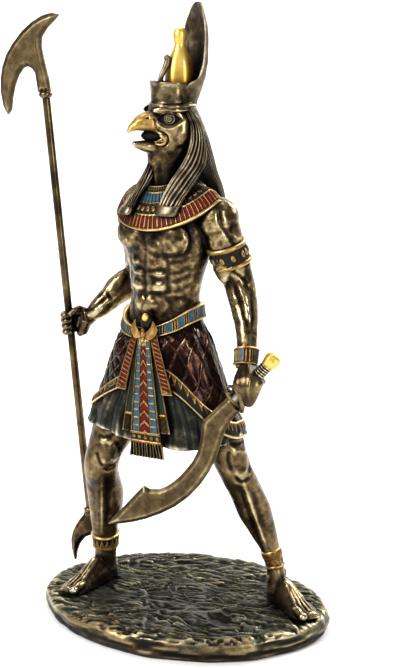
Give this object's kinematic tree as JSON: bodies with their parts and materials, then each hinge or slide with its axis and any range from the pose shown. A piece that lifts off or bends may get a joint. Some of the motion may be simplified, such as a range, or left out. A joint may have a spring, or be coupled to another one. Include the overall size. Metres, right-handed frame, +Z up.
{
  "type": "horus falcon figure",
  "caption": "Standing falcon-headed Horus statuette in a double crown, holding a crescent staff and a sickle sword on a slab of rock.",
  "frame": {"origin": "middle of the rock's underside, where the statuette rests on a table", "axes": "+Z up, the rock's long side along X, the figure's front towards -Y and its left hand on the +X side"},
  "size_m": [0.1792, 0.1115, 0.3002],
  "materials": {
    "rock": "bronze-powder resin with a green-black wash",
    "figure": "aged bronze with painted enamel colours",
    "staff": "aged bronze",
    "sword": "brushed aged bronze with a gilt pommel"
  },
  "bodies": {
    "root": {"rocky_base": "rock", "horus_figure": "figure", "crescent_staff": "staff", "sickle_sword": "sword"}
  },
  "joints": []
}
